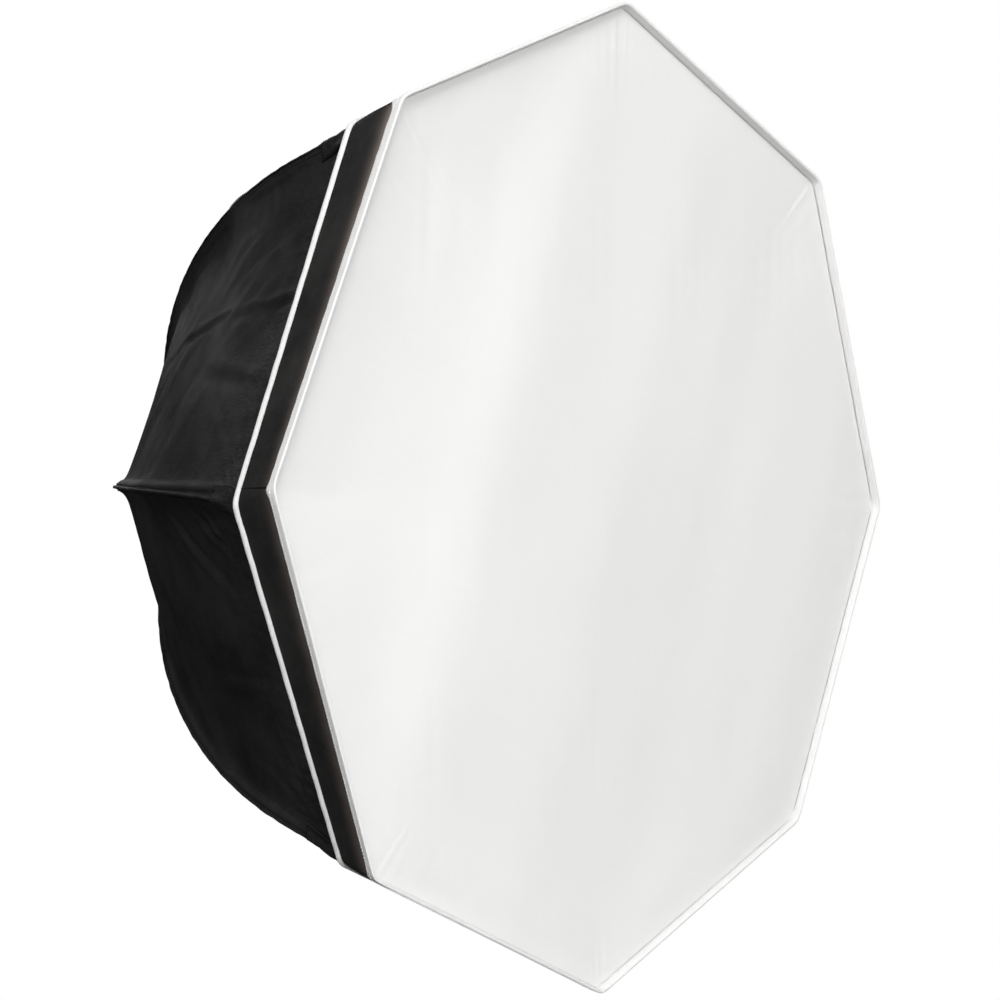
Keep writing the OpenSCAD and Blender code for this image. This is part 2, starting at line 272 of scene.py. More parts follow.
def attach(piece, body, node=None, thick=None, offset=0, lined=False):
    """Thickens a sheet where asked, and lets the piece ride a body in place of a plain solid."""
    if thick:
        cloth = piece.modifiers.new("thickness", "SOLIDIFY")
        cloth.thickness = thick
        cloth.offset = offset
        cloth.material_offset = int(lined)
    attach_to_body(piece, body)
    if node:
        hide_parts(node)


def waves(x, seed, count, low, high):
    """A repeatable smooth random line: a sum of waves between two wavelengths, about 1 high."""
    rng = np.random.default_rng(seed)
    length = np.exp(rng.uniform(math.log(low), math.log(high), count))
    phase = rng.uniform(0, TAU, count)
    size = rng.uniform(0.5, 1.0, count)
    total = sum(a * np.sin(TAU * x / l + p) for a, l, p in zip(size, length, phase))
    return total / math.sqrt(count)


def round_waves(theta, seed, count, low, high):
    """The same, round a closed ring: whole numbers of waves between low and high."""
    rng = np.random.default_rng(seed)
    turns = rng.integers(low, high, count)
    phase = rng.uniform(0, TAU, count)
    size = rng.uniform(0.5, 1.0, count)
    return sum(a * np.sin(n * theta + p) for a, n, p in zip(size, turns, phase)) / math.sqrt(count)


def stitches(name, starts, ends, normals, material):
    """Thread stitches: one small four-sided spindle for each start and end."""
    run = direction(ends - starts)
    side = direction(np.cross(run, normals))
    lift = np.cross(side, run)
    rows = []
    for t, w, h in ((0.0, 0.35, -0.4), (0.28, 1.0, 0.9), (0.72, 1.0, 0.9), (1.0, 0.35, -0.4)):
        centre = starts + (ends - starts) * t + lift * THREAD_R * h
        rows.append(np.stack([
            centre + (side * math.cos(q) + lift * math.sin(q)) * THREAD_R * w
            for q in (HALF * 2, HALF * 6, HALF * 10, HALF * 14)
        ], 1))
    verts = np.stack(rows, 1).reshape(-1, 3)
    local = []
    for ring in range(3):
        for q in range(4):
            a, b = ring * 4 + q, ring * 4 + (q + 1) % 4
            local.append((a, a + 4, b + 4, b))
    local += [(0, 1, 2, 3), (15, 14, 13, 12)]
    faces = (np.arange(len(starts))[:, None, None] * 16 + np.asarray(local)[None]).reshape(-1, 4)
    return make(name, verts, faces, [material])


def dashes(path, pitch):
    """Starts and ends of stitches along an open row of points."""
    share = 0.72
    along = running(path, False)
    count = max(int(along[-1] / pitch), 1)
    at = (np.arange(count) + 0.5 * (1 - share)) * along[-1] / count
    until = at + share * along[-1] / count
    pick = lambda s: np.stack([np.interp(s, along, path[:, i]) for i in range(3)], -1)
    return pick(at), pick(until)


def stitch_row(path, normals, pitch=0.0032):
    """Starts, ends and normals of the stitches along a row of points."""
    a, b = dashes(path, pitch)
    return a, b, normals[np.linspace(0, len(normals) - 1, len(a)).astype(int)]


def sew(name, rows, material):
    starts, ends, normals = (np.concatenate(part) for part in zip(*rows))
    attach(stitches(name, starts, ends, normals, material), "softbox")


# ---------------- material nodes
class Tree:
    """A short way to write shader nodes."""

    def __init__(self, name):
        self.material = bpy.data.materials.new(name)
        self.material.use_nodes = True
        self.nodes = self.material.node_tree.nodes
        self.links = self.material.node_tree.links
        self.bsdf = self.nodes["Principled BSDF"]

    def put(self, socket, value):
        if isinstance(value, bpy.types.NodeSocket):
            self.links.new(value, socket)
        elif isinstance(value, (tuple, list)) and len(value) == 3 and socket.type == "RGBA":
            socket.default_value = (*value, 1)
        else:
            socket.default_value = value

    def set(self, **values):
        for key, value in values.items():
            self.put(self.bsdf.inputs[key.replace("_", " ")], value)

    def node(self, kind, *values, **named):
        """A new node, with its inputs filled in order or by name."""
        node = self.nodes.new("ShaderNode" + kind)
        for key, value in (*enumerate(values), *named.items()):
            self.put(node.inputs[key], value)
        return node

    def math(self, operation, *values):
        node = self.node("Math", *values)
        node.operation = operation
        return node.outputs[0]

    def times(self, a, b):
        return self.math("MULTIPLY", a, b)

    def plus(self, a, b):
        return self.math("ADD", a, b)

    def split(self, vector):
        return list(self.node("SeparateXYZ", vector).outputs)

    def uv(self):
        return self.split(self.node("TexCoord").outputs["UV"])[:2]

    def position(self):
        return self.node("TexCoord").outputs["Object"]

    def plane(self):
        """The two directions across the optical axis."""
        return self.split(self.position())[::2]

    def depth(self):
        """Metres behind the front edge."""
        return self.math("SUBTRACT", self.split(self.position())[1], FRONT_Y)

    def stretched(self, u, v, u_scale, v_scale):
        return self.node("CombineXYZ", self.times(u, u_scale), self.times(v, v_scale)).outputs[0]

    def noise(self, scale, detail, rough=0.5, vector=None):
        where = vector or self.position()
        node = self.node("TexNoise", Vector=where, Scale=scale, Detail=detail, Roughness=rough)
        return node.outputs["Fac"]

    def cells(self, scale):
        return self.node("TexVoronoi", Vector=self.position(), Scale=scale).outputs["Distance"]

    def ramp(self, value, low, high):
        """value from 0 to 1 as a mix of two colours or two numbers."""
        if isinstance(low, float):
            return self.plus(self.times(value, high - low), low)
        node = self.node("Mix")
        node.data_type = "RGBA"
        for socket, part in ((0, value), (6, low), (7, high)):
            self.put(node.inputs[socket], part)
        return node.outputs[2]

    def contrast(self, value, low, high):
        return self.node("MapRange", value, low, high).outputs[0]

    def arches(self, x, scale):
        return self.math("ABSOLUTE", self.math("SINE", self.times(x, scale)))

    def weave(self, u, v, per_metre):
        """Height of a plain weave: crossing threads, each over and under the next."""
        x, y = self.times(u, per_metre), self.times(v, per_metre)
        cells = self.plus(self.math("FLOOR", x), self.math("FLOOR", y))
        over = self.math("FLOORED_MODULO", cells, 2.0)
        under = self.math("SUBTRACT", 1.0, over)
        warp = self.times(self.arches(x, math.pi), over)
        return self.plus(warp, self.times(self.arches(y, math.pi), under))

    def ribs(self, along, per_metre):
        return self.arches(along, per_metre * math.pi)

    def mix_in(self, shader, share):
        """Gives a share of the surface to another shader."""
        mix = self.node("MixShader", share, self.bsdf.outputs[0], shader.outputs[0])
        self.put(self.nodes["Material Output"].inputs["Surface"], mix.outputs[0])

    def add_gloss(self, share, rough):
        """A constant share of soft mirror reflection, without the bright rim of a clear coat."""
        normal = self.bsdf.inputs["Normal"].links[0].from_socket
        self.mix_in(self.node("BsdfGlossy", Color=(1.0, 1.0, 1.0), Roughness=rough, Normal=normal), share)

    def add_through(self, share):
        """A constant share of light let through to the other side."""
        self.mix_in(self.node("BsdfTranslucent", Color=(0.93, 0.93, 0.92)), share)

    def bump(self, *layers):
        """Layers of (height, depth in metres), each on top of the one before."""
        below = {}
        for height, depth in layers:
            node = self.node("Bump", Strength=1.0, Distance=depth, Height=height, **below)
            below = {"Normal": node.outputs["Normal"]}
        self.set(**below)


def dim(colour, share):
    return tuple(c * share for c in colour)


def shell_cloth():
    """Black nylon: a fine plain weave, a little sheen, and cloudy lighter patches in its colour that are
    painted sheen streaks.
    """
    t = Tree("shell_cloth")
    u, v = t.uv()
    weave = t.weave(u, v, 900)
    patchy = t.contrast(t.noise(9, 4, 0.6), 0.35, 0.7)
    thread = t.contrast(t.noise(420, 2, 0.7), 0.3, 0.7)
    # Painted sheen: the patchy noise lightens the base colour in cloudy patches that stand for sheen
    # streaks; the same patches also vary the real gloss share below.
    shade = t.ramp(patchy, (0.0078, 0.0078, 0.0084), (0.0200, 0.0198, 0.0203))
    t.set(
        Base_Color=t.ramp(t.times(thread, 0.5), shade, (0.024, 0.024, 0.025)),
        Roughness=0.8,
        Specular_IOR_Level=0.0,
    )
    crepe = t.noise(1, 2, 0.6, t.stretched(u, v, 340, 130))
    crepe = t.times(crepe, t.contrast(v, 0.15, 0.01))
    fuzz = t.noise(600, 2, 0.6)
    t.bump((t.noise(35, 3, 0.6), 0.0006), (crepe, 0.0022), (weave, 0.00022), (fuzz, 0.00008))
    t.add_gloss(t.ramp(patchy, 0.012, 0.027), t.ramp(thread, 0.34, 0.48))
    return t.material


def lip_cloth():
    """The same black nylon on the lip, a touch smoother, with a brown sheen painted into its colour near the
    front edge.
    """
    t = Tree("lip_cloth")
    u, v = t.uv()
    streak = t.contrast(t.noise(14, 4, 0.65), 0.3, 0.7)
    shade = t.ramp(streak, (0.0095, 0.0093, 0.0095), (0.0190, 0.0181, 0.0176))
    # Painted brown sheen: the base colour turns brown towards the front edge, in a wider band on the lower
    # side.
    near_edge = t.contrast(t.depth(), 0.027, 0.004)
    painted_sheen = t.math("POWER", near_edge, t.ramp(t.contrast(t.plane()[1], -0.35, 0.1), 1.7, 4.5))
    t.set(
        Base_Color=t.ramp(painted_sheen, shade, (0.17, 0.138, 0.122)),
        Roughness=0.8,
        Specular_IOR_Level=0.0,
    )
    t.bump((t.noise(60, 3, 0.6), 0.0004), (t.weave(u, v, 1000), 0.0002))
    t.add_gloss(t.ramp(streak, 0.012, 0.030), 0.40)
    return t.material


def silver_lining():
    """Metallised lining with an embossed pebble pattern."""
    t = Tree("silver_lining")
    pebble = t.cells(260)
    marks = t.contrast(t.noise(7, 5, 0.6), 0.3, 0.75)
    t.set(
        Base_Color=t.ramp(marks, (0.72, 0.73, 0.74), (0.86, 0.865, 0.87)),
        Metallic=0.92,
        Roughness=t.ramp(marks, 0.3, 0.42),
    )
    t.bump((t.noise(25, 3, 0.6), 0.0010), (pebble, 0.0007))
    return t.material


def diffusion_cloth(name, level):
    """White nylon that light passes through: fine weave and soft cloudiness."""
    t = Tree(name)
    x, z = t.plane()
    cloud = t.contrast(t.noise(5, 4, 0.55), 0.3, 0.7)
    slub = t.contrast(t.noise(160, 3, 0.6), 0.35, 0.7)
    low = dim((0.965, 0.965, 0.958), level)
    high = dim((1.0, 1.0, 0.994), level)
    t.set(
        Base_Color=t.ramp(t.plus(t.times(cloud, 0.7), t.times(slub, 0.3)), low, high),
        Roughness=t.ramp(slub, 0.6, 0.72),
        Specular_IOR_Level=0.3,
        Sheen_Weight=0.1,
        Sheen_Roughness=0.5,
    )
    t.bump((t.noise(18, 3, 0.6), 0.0005), (t.weave(x, z, 1300), 0.00012))
    t.add_through(0.22)
    return t.material


def white_tape():
    """White ribbed tape, very slightly soiled in places."""
    t = Tree("white_tape")
    u, v = t.uv()
    rib_height = t.ribs(u, 1100)
    soil = t.contrast(t.noise(40, 5, 0.65), 0.35, 0.8)
    t.set(
        Base_Color=t.ramp(soil, (0.87, 0.868, 0.862), (0.82, 0.815, 0.806)),
        Roughness=0.72,
        Specular_IOR_Level=0.3,
        Sheen_Weight=0.2,
        Sheen_Roughness=0.5,
    )
    t.bump((t.noise(120, 3, 0.6), 0.0003), (rib_height, 0.00025), (t.ribs(v, 1600), 0.00008))
    t.add_through(0.20)
    return t.material


def black_tape():
    """Black webbing: ribs across, with fine fibres."""
    t = Tree("black_tape")
    u, v = t.uv()
    fibre = t.contrast(t.noise(300, 3, 0.7), 0.3, 0.7)
    t.set(
        Base_Color=t.ramp(fibre, (0.010, 0.010, 0.011), (0.024, 0.024, 0.025)),
        Roughness=0.75,
        Sheen_Weight=0.25,
        Sheen_Roughness=0.5,
    )
    t.bump((t.ribs(v, 900), 0.0003), (t.ribs(u, 1300), 0.00015), (t.noise(500, 2, 0.6), 0.0001))
    return t.material


def fastener_tape(name, dark, light, scale):
    """Hook or loop tape: a dense nap of small bristles."""
    t = Tree(name)
    nap = t.cells(scale)
    tuft = t.noise(900, 3, 0.7)
    t.set(
        Base_Color=t.ramp(t.contrast(tuft, 0.35, 0.65), dark, light),
        Roughness=0.9,
        Sheen_Weight=0.35,
        Sheen_Roughness=0.6,
    )
    t.bump((nap, 0.0008), (tuft, 0.0004))
    return t.material


def thread(name, colour):
    t = Tree(name)
    fibre = t.contrast(t.noise(2500, 2, 0.6), 0.3, 0.7)
    t.set(
        Base_Color=t.ramp(fibre, dim(colour, 0.7), colour),
        Roughness=0.7,
        Specular_IOR_Level=0.1,
    )
    t.bump((fibre, 0.00008))
    return t.material


def metal(name, colour, rough, grain, scale, metallic=1.0):
    """Metal with a fine grain."""
    t = Tree(name)
    blotch = t.contrast(t.noise(scale * 0.25, 4, 0.6), 0.3, 0.7)
    fine = t.noise(scale * 12, 3, 0.7)
    t.set(
        Base_Color=t.ramp(blotch, dim(colour, 0.88), colour),
        Metallic=metallic,
        Roughness=t.ramp(t.contrast(fine, 0.3, 0.7), rough * 0.85, rough * 1.15),
    )
    t.bump((fine, grain))
    return t.material


def brushed(name, colour, rough):
    """Turned metal: rings of fine scratches round the optical axis."""
    t = Tree(name)
    x, z = t.plane()
    radius = t.math("SQRT", t.plus(t.times(x, x), t.times(z, z)))
    wobble = t.plus(radius, t.times(t.noise(30, 2), 0.0006))
    rings = t.math("SINE", t.times(wobble, 5200.0))
    blotch = t.contrast(t.noise(28, 4, 0.6), 0.3, 0.7)
    t.set(
        Base_Color=t.ramp(blotch, dim(colour, 0.9), colour),
        Metallic=1.0,
        Roughness=t.ramp(blotch, rough * 0.7, rough * 1.4),
    )
    t.bump((rings, 0.00009), (t.noise(700, 2, 0.6), 0.00005))
    return t.material


def plastic(name, colour, rough):
    """Moulded plastic with a fine spark texture."""
    t = Tree(name)
    fine = t.noise(1400, 3, 0.7)
    dust = t.contrast(t.noise(60, 4, 0.6), 0.45, 0.8)
    t.set(
        Base_Color=t.ramp(dust, colour, tuple(min(c * 1.35 + 0.004, 1) for c in colour)),
        Roughness=t.ramp(dust, rough, min(rough * 1.2, 1)),
        Specular_IOR_Level=0.45,
    )
    t.bump((fine, 0.00015))
    return t.material


SHELL = shell_cloth()
LIP_BLACK = lip_cloth()
SILVER = silver_lining()
FRONT_WHITE = diffusion_cloth("front_diffusion", 0.87)
INNER_WHITE = diffusion_cloth("inner_diffusion", 0.9)
TAPE = white_tape()
WEBBING = black_tape()
HOOKS = fastener_tape("hook_tape", (0.74, 0.74, 0.72), (0.88, 0.88, 0.86), 1400)
LOOPS = fastener_tape("loop_tape", (0.78, 0.78, 0.77), (0.92, 0.92, 0.91), 900)
BLACK_THREAD = thread("black_thread", (0.008, 0.008, 0.009))
WHITE_THREAD = thread("white_thread", (0.86, 0.86, 0.85))
POWDER = metal("powder_coat", (0.028, 0.028, 0.03), 0.42, 0.0005, 120, 0.15)
CASTING = brushed("turned_casting", (0.55, 0.56, 0.58), 0.32)
ZINC = metal("zinc_plate", (0.66, 0.67, 0.68), 0.27, 0.0001, 90)
SPRING = metal("spring_steel", (0.10, 0.10, 0.105), 0.38, 0.0001, 60, 0.9)
BRASS = metal("turned_brass", (0.72, 0.55, 0.26), 0.3, 0.0001, 90)
NYLON = plastic("natural_nylon", (0.70, 0.69, 0.64), 0.5)
BLACK_PLASTIC = plastic("black_moulding", (0.018, 0.018, 0.019), 0.5)


# ---------------- shell
HOOK_LOW, HOOK_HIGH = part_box("baffle_hooks")
HOOK_DEPTH = (HOOK_LOW.y + HOOK_HIGH.y) / 2 - FRONT_Y
ALONG_RIB = np.linspace(0, REAR_S, 400)
HOOK_S = float(np.interp(HOOK_DEPTH, rib(ALONG_RIB)[1], ALONG_RIB))
GORE_U = 120
GORE_V = 190

# Folds of single gores: start and end on the gore, width, and height, in metres
CREASES = {
    3: [
        ((-0.016, 0.010), (-0.018, 0.160), 0.0040, -0.0032),
        ((-0.024, 0.160), (-0.010, 0.370), 0.0042, -0.0014),
        ((-0.085, 0.060), (-0.050, 0.190), 0.0075, 0.0011),
        ((-0.135, 0.045), (-0.090, 0.200), 0.0070, 0.0018),
        ((0.060, 0.050), (0.030, 0.210), 0.0075, -0.0016),
    ],
    4: [
        ((-0.146, 0.135), (-0.100, 0.048), 0.0040, -0.0024),
        ((-0.150, 0.104), (-0.114, 0.062), 0.0036, -0.0022),
        ((-0.130, 0.190), (-0.060, 0.060), 0.0060, -0.0022),
        ((0.020, 0.060), (0.050, 0.220), 0.0070, 0.0018),
    ],
}


def gore_base(k, u, s):
    """A point on the flat-sided shell between ribs k and k + 1."""
    r, d = rib(s)
    a = rib_place(k, s, r, d)
    b = rib_place(k + 1, s, r, d)
    return a + (b - a) * u[..., None]


def normals_of(points):
    return direction(np.cross(np.gradient(points, axis=1), np.gradient(points, axis=0)))


def crease(x, s, start, end, width, height):
    """A soft fold from start to end, points in the gore's own metres: a ridge beside a valley."""
    ax, ay = start
    bx, by = end
    length = math.hypot(bx - ax, by - ay)
    tx, ty = (bx - ax) / length, (by - ay) / length
    along = ((x - ax) * tx + (s - ay) * ty) / length
    across = (x - ax) * -ty + (s - ay) * tx
    fade = np.clip(along, 0, 1)
    envelope = np.sin(math.pi * fade ** 0.6) ** 0.8 * ((along > 0) & (along < 1))
    spread = width * (0.6 + 0.9 * fade)
    ridge = np.exp(-(across / spread) ** 2)
    valley = np.exp(-((across - 1.5 * spread) / (1.1 * spread)) ** 2)
    return height * envelope * (ridge - 0.8 * valley)


def gore_relief(k, u, s):
    """How far the fabric stands out from the flat-sided shell."""
    half = rib(s)[0] * math.sin(HALF)
    x = (u - 0.5) * 2 * half
    from_left = u * 2 * half
    from_right = (1 - u) * 2 * half
    from_rear = REAR_S - s
    tent_run = TENT_RUN + 0.011 * bell(s, HOOK_S, 0.018)
    drop = rise(from_left, tent_run, 1.4) * rise(from_right, tent_run, 1.4)
    total = -TENT * drop * rise(s, 0.055, 1.6) * rise(from_rear, 0.06)
    for side, seed in ((from_left, 2 * k), (from_right, 2 * k + 1)):
        strength = 0.55 + 0.45 * waves(s, 40 + seed, 3, 0.08, 0.3)
        pucker = waves(s + 0.25 * side, seed, 7, 0.013, 0.034) * strength
        total += 0.0024 * hump(side / 0.009) * bell(s, 0.013, 0.015)
        total += 0.0005 * hump(side / 0.016) * pucker
        total += 0.0009 * hump(side / 0.05) * waves(s + 0.5 * side, 90 + seed, 4, 0.06, 0.16)
    total += 0.0009 * hump(s / 0.02) * waves(x, 140 + k, 8, 0.012, 0.04)
    total += 0.0012 * hump(from_rear / 0.03) * waves(x / half, 160 + k, 6, 0.2, 0.6)
    broad = waves(x * 0.5 + s, 200 + k, 3, 0.09, 0.22) * waves(x - 0.4 * s, 230 + k, 3, 0.12, 0.3)
    patchy = 0.5 + 0.5 * waves(x + s, 270 + k, 3, 0.15, 0.3)
    slanted = waves(0.75 * x - 0.66 * s, 260 + k, 7, 0.022, 0.07) * patchy
    total += np.sin(math.pi * u) * (0.0016 * broad + 0.0008 * slanted)
    rng = np.random.default_rng(300 + k)
    for corner in (-1, 1):
        edge = corner * float(rib(0.03)[0]) * math.sin(HALF)
        for _ in range(4):
            run = rng.uniform(0.10, 0.24)
            turn = rng.uniform(0.35, 1.15)
            begin = (edge - corner * rng.uniform(0.012, 0.03), rng.uniform(0.02, 0.05))
            end = (begin[0] - corner * run * math.sin(turn), begin[1] + run * math.cos(turn))
            total += crease(x, s, begin, end, rng.uniform(0.006, 0.011), rng.uniform(0.0006, 0.0012))
    if k == 2:
        total += 0.0125 * hump(from_right / 0.034) * bell(s, 0.19, 0.16, 4)
    if k == 3:
        beside = rise(from_right, 0.007, 2) * bell(from_right, 0, 0.032)
        total += 0.0045 * beside * np.exp(-s / HANG_RUN[4])
    for fold in CREASES.get(k, ()):
        total += crease(x, s, *fold)
    return total * rise(s, 0.012) * rise(from_rear, 0.02)


def over_rod(points, k, s):
    """The same points, lifted where they would come down on the rod under rib k."""
    theta = k * STEP
    angle = RIM_ANGLE + np.maximum(s - STRAIGHT, 0) / BEND_R
    out = np.stack([np.cos(angle) * math.cos(theta), np.sin(angle), np.cos(angle) * math.sin(theta)], -1)
    r, d = bare_rib(s, ROD_INSET)
    away = points - place(theta, r, d)
    aside = away @ sideways(theta)
    height = (away * out).sum(-1)
    cover = ROD_COVER + 0.0020 * bell(s, 0.010, 0.026, 4) + 0.0013 * bell(s, HOOK_S, 0.012)
    wanted = cover * (1 - (aside / cover) ** 2 * 0.5)
    near = np.abs(aside) < 1.6 * cover
    lift = np.where(near, np.logaddexp(0, (wanted - height) / 0.0004) * 0.0004, 0)
    return points + out * lift[..., None]


def gore_points(k, u, s):
    base = gore_base(k, u, s)
    points = base + normals_of(base) * gore_relief(k, u, s)[..., None]
    return over_rod(over_rod(points, k, s), k + 1, s)


def beside_seam(k, s, reach, lift):
    """Points on the cloth at a distance to either side of seam k, raised by lift, and their normals."""
    gore = k if reach >= 0 else (k - 1) % SIDES
    share = abs(reach) / (2 * rib(s)[0] * math.sin(HALF))
    u = share if reach >= 0 else 1 - share - 1e-4
    lane = gore_points(gore, np.stack([u, u + 1e-4]), np.stack([s, s]))
    normal = normals_of(lane)[0]
    return lane[0] + normal * lift, normal


def over_seam(k, s, reaches, lift):
    """Rows of points across seam k that follow the cloth on both sides, and their normals."""
    rows, normals = zip(*(beside_seam(k, s, reach, lift) for reach in reaches))
    rows, normals = np.stack(rows), np.stack(normals)
    middle = len(reaches) // 2
    for values in (rows, normals):
        values[middle] = (values[middle - 1] + values[middle + 1]) / 2
    rows[middle] += normals[middle] * 0.0004 * math.copysign(1, lift)
    return rows, normals


def gore_grid():
    u = 0.5 - 0.5 * np.cos(np.linspace(0, math.pi, GORE_U))
    u = 0.8 * u + 0.2 * np.linspace(0, 1, GORE_U)
    s = np.linspace(0, 1, GORE_V) ** 1.15 * (REAR_S - 0.0035) + 0.0035
    return np.meshgrid(u, s, indexing="ij")


def build_shell():
    u, s = gore_grid()
    for k in range(SIDES):
        piece = grid(f"shell_gore_{k + 1}", gore_points(k, u, s), [SHELL, SILVER], flip=True)
        attach(piece, "softbox", f"shell_panel_{k + 1}", CLOTH, -1, True)


def build_seams():
    """The folded seam allowance that stands along each rib, and its two rows of stitches."""
    s = np.linspace(0.004, REAR_S, 260)
    tube = np.linspace(0, TAU, 10, endpoint=False)[:, None, None]
    rows = []
    for k in range(SIDES):
        wobble = 0.0004 * waves(s, 400 + k, 6, 0.012, 0.05)
        centre = rib_place(k, s, *rib(s, 0.0002 - 0.5 * wobble))
        along = direction(np.gradient(centre, axis=0))
        side = direction(np.cross(along, outward(k * STEP)))
        lift = np.cross(side, along)
        sway = 0.0003 * waves(s, 430 + k, 5, 0.02, 0.06)[:, None]
        points = centre + side * (0.0013 * np.cos(tube) + sway) + lift * 0.0009 * np.sin(tube)
        attach(grid(f"seam_ridge_{k + 1}", points, [SHELL], wrap_u=True), "softbox")
        for reach in (-STITCH_REACH, STITCH_REACH):
            rows.append(stitch_row(*beside_seam(k, s, reach, 0.0001)))
    sew("seam_stitches", rows, BLACK_THREAD)


def build_inner_tapes():
    """Binding tape along the inside of each seam."""
    s = np.linspace(0.03, REAR_S - 0.012, 150)
    reaches = np.linspace(-0.007, 0.007, 13)
    verts, faces, uvs = [], [], []
    for k in range(SIDES):
        points = over_seam(k, s, reaches, -0.0014)[0]
        quads, uv, _ = quads_of(points)
        faces.append(np.roll(quads[:, ::-1], 1, 1) + sum(len(v) for v in verts))
        uvs.append(np.roll(uv[:, ::-1], 1, 1))
        verts.append(points.reshape(-1, 3))
    tape = make("seam_binding", np.concatenate(verts), np.concatenate(faces), [WEBBING], np.concatenate(uvs))
    attach(tape, "softbox", "seam_tapes", 0.0005)


def border(sheet):
    """The row of points that runs round a sheet, a few points in from its edges."""
    lane = 2
    return np.concatenate([
        sheet[lane:-lane, lane], sheet[-lane - 1, lane:-lane],
        sheet[lane:-lane, -lane - 1][::-1], sheet[lane, lane:-lane][::-1],
    ])


def build_patches():
    """Stitched patches over the seams behind the piping, where the rod tips push."""
    half_width = 0.0140
    s = np.linspace(0.005, 0.060, 44)
    w = np.linspace(-1, 1, 31)
    tt, ss = np.meshgrid(np.abs(w), np.linspace(-1, 1, len(s)), indexing="ij")
    pillow = (1 - tt ** 6) * (1 - np.abs(ss) ** 8)
    rows = []
    for k in range(SIDES):
        points, up = over_seam(k, s, w * half_width, 0.0009)
        relief = 0.0007 * pillow + 0.0002 * waves(tt * half_width + ss * 0.02, 500 + k, 4, 0.008, 0.02)
        points = points + up * relief[..., None]
        patch = grid(f"rod_patch_{k + 1}", points, [SHELL])
        attach(patch, "softbox", None if k else "corner_patches", 0.0009)
        rows.append(stitch_row(border(points) + border(up) * 0.0006, border(up), 0.0026))
    sew("patch_stitches", rows, BLACK_THREAD)


def build_pockets():
    """Webbing cups on the inside of the seams, one under each rod tip."""
    angle = np.linspace(-1.75, 1.75, 25)
    t = np.linspace(0, 1, 30)
    r, d = bare_rib(0.0035 + 0.029 * t, ROD_INSET)
    for k in range(SIDES):
        theta = k * STEP
        bag = 0.0048 * (1 - (1 - t) ** 14) ** 0.5 * (1 + 0.05 * waves(t, 470 + k, 4, 0.2, 0.5))
        bag = bag[None] * (1 + 0.04 * waves(angle, 480 + k, 4, 0.6, 1.6))[:, None]
        into, aside = bag * np.cos(angle)[:, None], bag * np.sin(angle)[:, None]
        centre = place(theta, r - math.cos(RIM_ANGLE) * into, d - math.sin(RIM_ANGLE) * into)
        cup = grid(f"rod_pocket_{k + 1}", centre + aside[..., None] * sideways(theta), [WEBBING])
        attach(cup, "softbox", None if k else "rod_pockets", 0.0008)


# ---------------- lip, piping and binding
def rim_ripple(scale, seed):
    def ripple(theta, r, depth):
        fade = np.clip(np.minimum(depth, LIP - depth) / 0.012, 0, 1)
        fine = round_waves(theta + depth * 1.5, seed, 9, 60, 180)
        slow = round_waves(theta - depth * 2.0, seed + 1, 6, 9, 40)
        return scale * fade * (0.5 * fine + slow), 0
    return ripple


def lip_belly(depth):
    """How far the lip's fabric bulges out between its two edges."""
    return 0.0016 * np.sin(math.pi * depth / LIP) - 0.0003


def build_lip():
    depth = np.linspace(0.0008, LIP - 0.0012, 16)
    outside = np.stack([lip_r(depth) + lip_belly(depth), depth], -1)
    profile = np.concatenate([outside, (outside - (0.0010, 0))[::-1]])
    bands = [0] * len(depth) + [1] * len(depth)
    lip = sweep("lip_band", profile, [LIP_BLACK, TAPE], rim_ripple(0.0003, 600), bands)
    attach(lip, "softbox", "front_lip")


def build_lip_joints():
    """The folded joints in the lip, one at each corner of its front edge."""
    depth = np.linspace(0.0085, LIP - 0.003, 24)
    section = np.linspace(0, TAU, 8, endpoint=False)[:, None, None]
    for k in range(SIDES):
        drift = 0.028 if k == 4 else 0.006
        theta = k * STEP - drift * depth / LIP + 0.0006 * waves(depth, 640 + k, 3, 0.01, 0.04)
        spine = rim_place(theta, octagon(theta) * (lip_r(depth) + lip_belly(depth)), depth)
        fold = sideways(k * STEP) * 0.0007 * np.cos(section) + outward(k * STEP) * 0.0005 * np.sin(section)
        joint = grid(f"lip_joint_{k + 1}", spine + fold, [BLACK_THREAD], wrap_u=True, flip=True)
        attach(joint, "softbox")


def build_piping():
    turn = np.linspace(0, TAU, 14, endpoint=False)
    profile = np.stack([PIPING_R + PIPING_T * np.cos(turn), LIP + PIPING_T * 0.95 * np.sin(turn)], -1)

    def ripple(theta, r, depth):
        out = 0.00016 * round_waves(theta, 620, 8, 20, 110)
        return out, 0.0002 * round_waves(theta, 640, 8, 20, 110)

    cord = sweep("piping_cord", profile, [TAPE], ripple)
    attach(cord, "softbox", "rim_piping")


